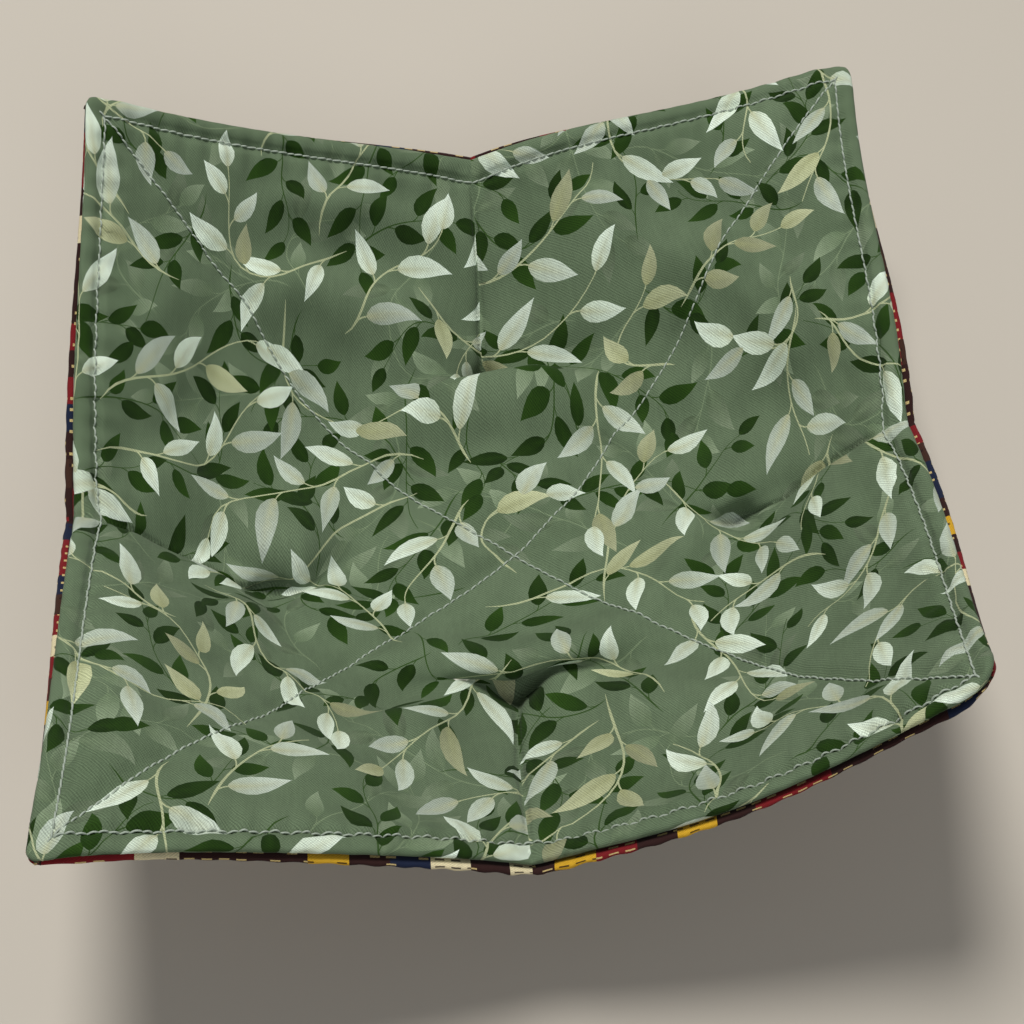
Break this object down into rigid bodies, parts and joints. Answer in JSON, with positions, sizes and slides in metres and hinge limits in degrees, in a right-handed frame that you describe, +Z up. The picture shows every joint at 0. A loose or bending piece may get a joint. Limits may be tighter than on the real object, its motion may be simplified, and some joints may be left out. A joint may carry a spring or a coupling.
{
  "type": "bowl cozy",
  "caption": "Quilted fabric bowl cozy: a square of printed lining, batting and outer cotton, darted into a dish with raised corners, topstitched edge and a stitched cross.",
  "frame": {"origin": "under the middle of the part's box, on the surface that it stands on", "axes": "+Z up out of the dish, +Y to the back edge and +X to the right edge; the darts lie on X and Y"},
  "size_m": [0.2112, 0.2164, 0.0862],
  "materials": {
    "lining_cotton": "matte printed weave",
    "outer_cotton": "matte printed weave",
    "batting": "soft fleece",
    "thread": "slight sheen"
  },
  "bodies": {
    "root": {"edge_seam_thread": "thread", "lining_batting": "batting", "lining_cross_bobbin_thread_1": "thread", "lining_cross_bobbin_thread_2": "thread", "lining_cross_needle_thread_1": "thread", "lining_cross_needle_thread_2": "thread", "lining_dart_thread_back": "thread", "lining_dart_thread_front": "thread", "lining_dart_thread_left": "thread", "lining_dart_thread_right": "thread", "lining_fabric": "lining_cotton", "outer_batting": "batting", "outer_cross_bobbin_thread_1": "thread", "outer_cross_bobbin_thread_2": "thread", "outer_cross_needle_thread_1": "thread", "outer_cross_needle_thread_2": "thread", "outer_dart_thread_back": "thread", "outer_dart_thread_front": "thread", "outer_dart_thread_left": "thread", "outer_dart_thread_right": "thread", "outer_fabric": "outer_cotton", "topstitch_bobbin_thread": "thread", "topstitch_needle_thread": "thread"}
  },
  "joints": []
}
